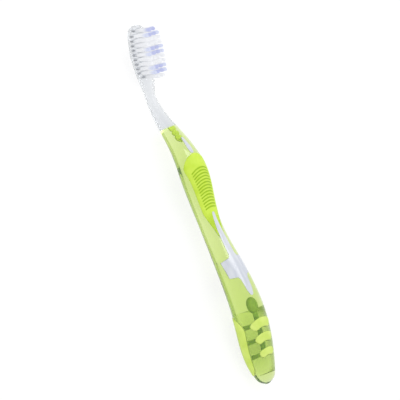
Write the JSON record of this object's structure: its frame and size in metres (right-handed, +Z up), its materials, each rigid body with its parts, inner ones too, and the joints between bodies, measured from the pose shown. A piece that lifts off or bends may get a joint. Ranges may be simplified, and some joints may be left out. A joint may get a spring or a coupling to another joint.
{
  "type": "manual toothbrush",
  "caption": "Manual toothbrush with a clear tufted head and neck, a translucent green handle with a clear window, and soft ribbed grips moulded in.",
  "frame": {"origin": "middle of the bounding box at the level of the lowest points, where the brush lies on its back", "axes": "+X from the tail to the head, +Z up the way the bristles point, +Y to the brush's left side"},
  "size_m": [0.1852, 0.0182, 0.0233],
  "materials": {
    "clear_plastic": "clear gloss",
    "green_plastic": "translucent gloss",
    "lime_rubber": "satin soft rubber",
    "white_bristle": "fine filament",
    "blue_bristle": "fine filament",
    "anchor_metal": "plain sheared"
  },
  "bodies": {
    "root": {"head_and_neck": "clear_plastic", "handle_body": "green_plastic", "thumb_grip": "lime_rubber", "tail_front_grip": "lime_rubber", "tail_back_grip": "lime_rubber", "tuft_anchors": "anchor_metal", "tuft_01_inner_left": "blue_bristle", "tuft_01_inner_right": "blue_bristle", "tuft_02_outer_left": "white_bristle", "tuft_02_inner_left": "blue_bristle", "tuft_02_inner_right": "blue_bristle", "tuft_02_outer_right": "white_bristle", "tuft_03_outer_left": "white_bristle", "tuft_03_inner_left": "white_bristle", "tuft_03_inner_right": "white_bristle", "tuft_03_outer_right": "white_bristle", "tuft_04_outer_left": "white_bristle", "tuft_04_inner_left": "white_bristle", "tuft_04_inner_right": "white_bristle", "tuft_04_outer_right": "white_bristle", "tuft_05_outer_left": "white_bristle", "tuft_05_inner_left": "blue_bristle", "tuft_05_inner_right": "blue_bristle", "tuft_05_outer_right": "white_bristle", "tuft_06_outer_left": "white_bristle", "tuft_06_inner_left": "blue_bristle", "tuft_06_inner_right": "blue_bristle", "tuft_06_outer_right": "white_bristle", "tuft_07_outer_left": "white_bristle", "tuft_07_inner_left": "white_bristle", "tuft_07_inner_right": "white_bristle", "tuft_07_outer_right": "white_bristle", "tuft_08_outer_left": "white_bristle", "tuft_08_inner_left": "white_bristle", "tuft_08_inner_right": "white_bristle", "tuft_08_outer_right": "white_bristle", "tuft_09_outer_left": "white_bristle", "tuft_09_inner_left": "blue_bristle", "tuft_09_inner_right": "blue_bristle", "tuft_09_outer_right": "white_bristle", "tuft_10_outer_left": "white_bristle", "tuft_10_inner_left": "blue_bristle", "tuft_10_inner_right": "blue_bristle", "tuft_10_outer_right": "white_bristle", "tuft_11_inner_left": "white_bristle", "tuft_11_inner_right": "white_bristle"}
  },
  "joints": []
}
